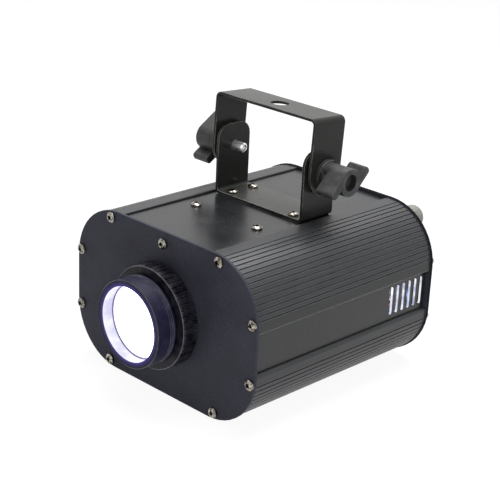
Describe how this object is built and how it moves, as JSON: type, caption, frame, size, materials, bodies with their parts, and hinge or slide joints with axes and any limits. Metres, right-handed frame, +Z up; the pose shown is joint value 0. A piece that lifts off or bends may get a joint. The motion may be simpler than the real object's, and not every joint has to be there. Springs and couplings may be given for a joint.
{
  "type": "gobo projector",
  "caption": "Small gobo projector with a ribbed housing, a focusing lens barrel, a gobo wheel and a fan, hung from a tilting yoke with winged clamp knobs.",
  "frame": {"origin": "under the middle of the bounding box, on the plane that the end plates' lower edges stand on", "axes": "+X to the right as seen from the front, +Y from the lens to the rear plate along the optical axis, +Z up"},
  "size_m": [0.16, 0.21, 0.1686],
  "materials": {
    "black_powder_coat": "semi-gloss black powder coat on sheet steel",
    "black_extrusion": "semi-gloss black coat on an aluminium extrusion",
    "black_anodised": "satin black anodised, turned",
    "black_nylon": "moulded, satin",
    "black_abs": "moulded, satin",
    "grey_nylon": "moulded, satin, light grey",
    "nickel_screw": "nickel plated",
    "zinc_stud": "zinc plated",
    "bare_aluminium": "as rolled and extruded",
    "optical_glass": "polished",
    "fibre_washer": "pressed fibre",
    "circuit_board": "solder mask",
    "motor_steel": "drawn can"
  },
  "bodies": {
    "housing": {"barrel_guide": "black_anodised", "bottom_left_profile": "black_extrusion", "bottom_panel": "black_powder_coat", "bottom_right_profile": "black_extrusion", "bracket_screw_front_left": "nickel_screw", "bracket_screw_front_right": "nickel_screw", "bracket_screw_rear_left": "nickel_screw", "bracket_screw_rear_right": "nickel_screw", "cable_gland_body": "grey_nylon", "cable_gland_nut": "grey_nylon", "condenser_lens": "optical_glass", "fan_frame": "black_abs", "front_plate": "black_powder_coat", "front_screw_bottom_left_inner": "nickel_screw", "front_screw_bottom_left_outer": "nickel_screw", "front_screw_bottom_right_inner": "nickel_screw", "front_screw_bottom_right_outer": "nickel_screw", "front_screw_centre": "nickel_screw", "front_screw_top_left_inner": "nickel_screw", "front_screw_top_left_outer": "nickel_screw", "front_screw_top_right_inner": "nickel_screw", "front_screw_top_right_outer": "nickel_screw", "gobo_motor": "motor_steel", "heat_sink": "bare_aluminium", "led_board": "circuit_board", "left_friction_washer": "fibre_washer", "left_side_panel": "black_powder_coat", "mounting_bracket": "black_powder_coat", "optics_bracket": "bare_aluminium", "panel_screw_left": "nickel_screw", "panel_screw_right": "nickel_screw", "power_board": "circuit_board", "rear_plate": "black_powder_coat", "rear_screw_bottom_left_inner": "nickel_screw", "rear_screw_bottom_left_outer": "nickel_screw", "rear_screw_bottom_right_inner": "nickel_screw", "rear_screw_bottom_right_outer": "nickel_screw", "rear_screw_top_left_inner": "nickel_screw", "rear_screw_top_left_outer": "nickel_screw", "rear_screw_top_right_inner": "nickel_screw", "rear_screw_top_right_outer": "nickel_screw", "right_friction_washer": "fibre_washer", "right_side_panel": "black_powder_coat", "speed_potentiometer": "motor_steel", "switch_frame": "black_abs", "top_left_profile": "black_extrusion", "top_panel": "black_powder_coat", "top_right_profile": "black_extrusion"},
    "yoke": {"yoke": "black_powder_coat"},
    "right_knob": {"right_clamp_knob": "black_nylon", "right_clamp_stud": "zinc_stud"},
    "left_knob": {"left_clamp_knob": "black_nylon", "left_clamp_stud": "zinc_stud"},
    "focus_ring": {"focus_ring": "black_anodised"},
    "lens_barrel": {"lens_barrel": "black_anodised", "objective_lens": "optical_glass"},
    "gobo_wheel": {"gobo_wheel": "black_powder_coat"},
    "fan_rotor": {"fan_rotor": "black_abs"},
    "switch_rocker": {"switch_rocker": "black_abs"},
    "speed_knob": {"speed_knob": "black_abs"}
  },
  "joints": [
    {"name": "yoke_tilt", "type": "hinge", "parent": "housing", "child": "yoke", "pos_m": [0, 0.01365, 0.1327], "axis": [1, 0, 0], "range_deg": [-106, 113]},
    {"name": "right_knob_turn", "type": "hinge", "parent": "housing", "child": "right_knob", "pos_m": [0, 0.01365, 0.1327], "axis": [1, 0, 0], "continuous": true},
    {"name": "left_knob_turn", "type": "hinge", "parent": "housing", "child": "left_knob", "pos_m": [0, 0.01365, 0.1327], "axis": [1, 0, 0], "continuous": true},
    {"name": "focus_turn", "type": "hinge", "parent": "housing", "child": "focus_ring", "pos_m": [0, -0.0845, 0.0523], "axis": [0, -1, 0], "range_deg": [-45, 300]},
    {"name": "focus_slide", "type": "slide", "parent": "housing", "child": "lens_barrel", "axis": [0, -1, 0], "range_m": [-0.00151, 0.01001]},
    {"name": "gobo_spin", "type": "hinge", "parent": "housing", "child": "gobo_wheel", "pos_m": [-0.024, -0.03875, 0.0523], "axis": [0, 1, 0], "continuous": true},
    {"name": "fan_spin", "type": "hinge", "parent": "housing", "child": "fan_rotor", "pos_m": [0, 0.0728, 0.0523], "axis": [0, 1, 0], "continuous": true},
    {"name": "rocker_tilt", "type": "hinge", "parent": "housing", "child": "switch_rocker", "pos_m": [-0.048, 0.07985, 0.0483], "axis": [1, 0, 0], "range_deg": [-18, 0]},
    {"name": "speed_turn", "type": "hinge", "parent": "housing", "child": "speed_knob", "pos_m": [-0.0455, 0.0905, 0.0823], "axis": [0, 1, 0], "range_deg": [-150, 150]}
  ],
  "couplings": [
    {"joint": "focus_slide", "follows": "focus_turn", "m_per_rad": 0.0019099}
  ]
}
